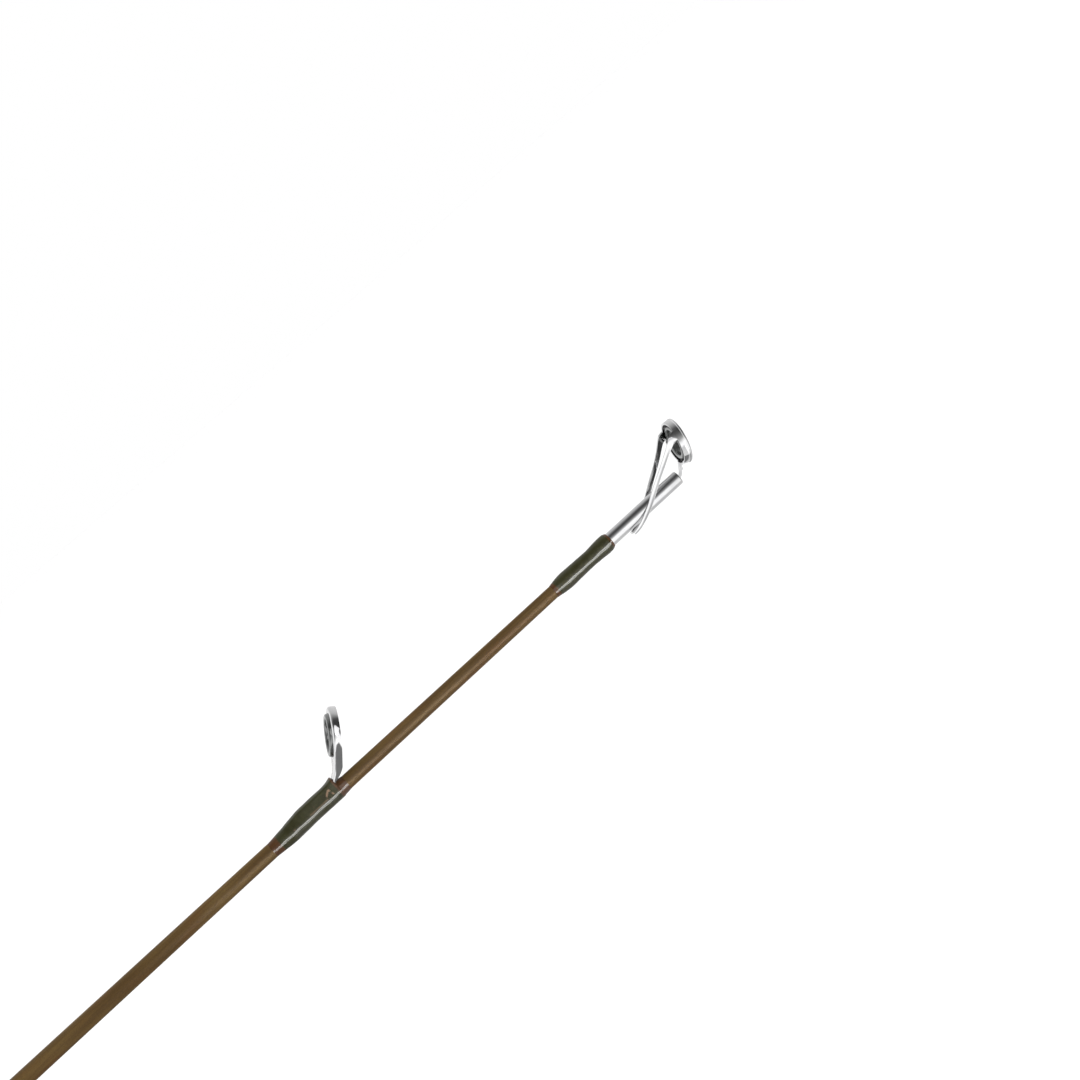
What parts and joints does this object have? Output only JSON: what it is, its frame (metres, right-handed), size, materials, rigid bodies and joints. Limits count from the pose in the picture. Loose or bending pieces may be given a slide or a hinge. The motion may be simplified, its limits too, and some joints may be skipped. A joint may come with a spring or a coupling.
{
  "type": "baitcasting rod",
  "caption": "One-piece baitcasting rod: tapered tubular blank, lined guides and tip-top under thread wraps, cork grips and a trigger reel seat with a screw-locked hood.",
  "frame": {"origin": "centre of the reel-foot deck, on the upper face of the reel seat; the rod's axis lies 10 mm below it", "axes": "+X along the rod towards the tip, +Z away from the deck on the guide side, +Y to the left of the rod"},
  "size_m": [1.9808, 0.0286, 0.0506],
  "materials": {
    "blank": "brown satin carbon-fibre tube",
    "butt_cap": "matt black rubber",
    "butt_guide_frame": "polished pressed stainless sheet",
    "butt_guide_front_wrap": "olive thread under clear gloss epoxy",
    "butt_guide_insert": "polished dark grey ceramic",
    "butt_guide_rear_wrap": "olive thread under clear gloss epoxy",
    "fixed_hood_cushion": "matt soft liner",
    "foregrip": "sanded cork",
    "foregrip_front_ring": "dark burl cork",
    "hook_keeper": "polished stainless wire",
    "hook_keeper_front_wrap": "olive thread under clear gloss epoxy",
    "hook_keeper_rear_wrap": "olive thread under clear gloss epoxy",
    "lock_nut": "satin near-black moulded plastic",
    "rear_grip": "sanded cork",
    "rear_grip_end_ring": "dark burl cork",
    "rear_grip_front_ring": "dark burl cork",
    "reel_seat": "satin near-black moulded plastic",
    "runner_1_frame": "polished pressed stainless sheet",
    "runner_1_insert": "polished dark grey ceramic",
    "runner_1_wrap": "olive thread under clear gloss epoxy",
    "runner_2_frame": "polished pressed stainless sheet",
    "runner_2_insert": "polished dark grey ceramic",
    "runner_2_wrap": "olive thread under clear gloss epoxy",
    "runner_3_frame": "polished pressed stainless sheet",
    "runner_3_insert": "polished dark grey ceramic",
    "runner_3_wrap": "olive thread under clear gloss epoxy",
    "runner_4_frame": "polished pressed stainless sheet",
    "runner_4_insert": "polished dark grey ceramic",
    "runner_4_wrap": "olive thread under clear gloss epoxy",
    "runner_5_frame": "polished pressed stainless sheet",
    "runner_5_insert": "polished dark grey ceramic",
    "runner_5_wrap": "olive thread under clear gloss epoxy",
    "runner_6_frame": "polished pressed stainless sheet",
    "runner_6_insert": "polished dark grey ceramic",
    "runner_6_wrap": "olive thread under clear gloss epoxy",
    "runner_7_frame": "polished pressed stainless sheet",
    "runner_7_insert": "polished dark grey ceramic",
    "runner_7_wrap": "olive thread under clear gloss epoxy",
    "seat_arbor_front": "rigid foam, unfinished",
    "seat_arbor_rear": "rigid foam, unfinished",
    "seat_rear_trim": "bronze-anodised, satin",
    "sliding_hood": "satin near-black moulded plastic",
    "sliding_hood_cushion": "matt soft liner",
    "tip_frame": "polished pressed stainless sheet",
    "tip_insert": "polished dark grey ceramic",
    "tip_tube": "polished stainless tube",
    "tip_wrap": "olive thread under clear gloss epoxy",
    "winding_check": "bronze-anodised, satin"
  },
  "bodies": {
    "rod": {"blank": "blank", "butt_cap": "butt_cap", "butt_guide_frame": "butt_guide_frame", "butt_guide_front_wrap": "butt_guide_front_wrap", "butt_guide_insert": "butt_guide_insert", "butt_guide_rear_wrap": "butt_guide_rear_wrap", "fixed_hood_cushion": "fixed_hood_cushion", "foregrip": "foregrip", "foregrip_front_ring": "foregrip_front_ring", "hook_keeper": "hook_keeper", "hook_keeper_front_wrap": "hook_keeper_front_wrap", "hook_keeper_rear_wrap": "hook_keeper_rear_wrap", "rear_grip": "rear_grip", "rear_grip_end_ring": "rear_grip_end_ring", "rear_grip_front_ring": "rear_grip_front_ring", "reel_seat": "reel_seat", "runner_1_frame": "runner_1_frame", "runner_1_insert": "runner_1_insert", "runner_1_wrap": "runner_1_wrap", "runner_2_frame": "runner_2_frame", "runner_2_insert": "runner_2_insert", "runner_2_wrap": "runner_2_wrap", "runner_3_frame": "runner_3_frame", "runner_3_insert": "runner_3_insert", "runner_3_wrap": "runner_3_wrap", "runner_4_frame": "runner_4_frame", "runner_4_insert": "runner_4_insert", "runner_4_wrap": "runner_4_wrap", "runner_5_frame": "runner_5_frame", "runner_5_insert": "runner_5_insert", "runner_5_wrap": "runner_5_wrap", "runner_6_frame": "runner_6_frame", "runner_6_insert": "runner_6_insert", "runner_6_wrap": "runner_6_wrap", "runner_7_frame": "runner_7_frame", "runner_7_insert": "runner_7_insert", "runner_7_wrap": "runner_7_wrap", "seat_arbor_front": "seat_arbor_front", "seat_arbor_rear": "seat_arbor_rear", "seat_rear_trim": "seat_rear_trim", "tip_frame": "tip_frame", "tip_insert": "tip_insert", "tip_tube": "tip_tube", "tip_wrap": "tip_wrap", "winding_check": "winding_check"},
    "sliding_hood": {"sliding_hood": "sliding_hood", "sliding_hood_cushion": "sliding_hood_cushion"},
    "lock_nut": {"lock_nut": "lock_nut"}
  },
  "joints": [
    {"name": "hood_slide", "type": "slide", "parent": "rod", "child": "sliding_hood", "axis": [-1, 0, 0], "range_m": [0, 0.0201]},
    {"name": "lock_nut_turn", "type": "hinge", "parent": "sliding_hood", "child": "lock_nut", "pos_m": [0.055, 0, -0.01], "axis": [-1, 0, 0], "range_deg": [0, 3600]}
  ],
  "couplings": [
    {"joint": "hood_slide", "follows": "lock_nut_turn", "m_per_rad": 0.00031831}
  ]
}
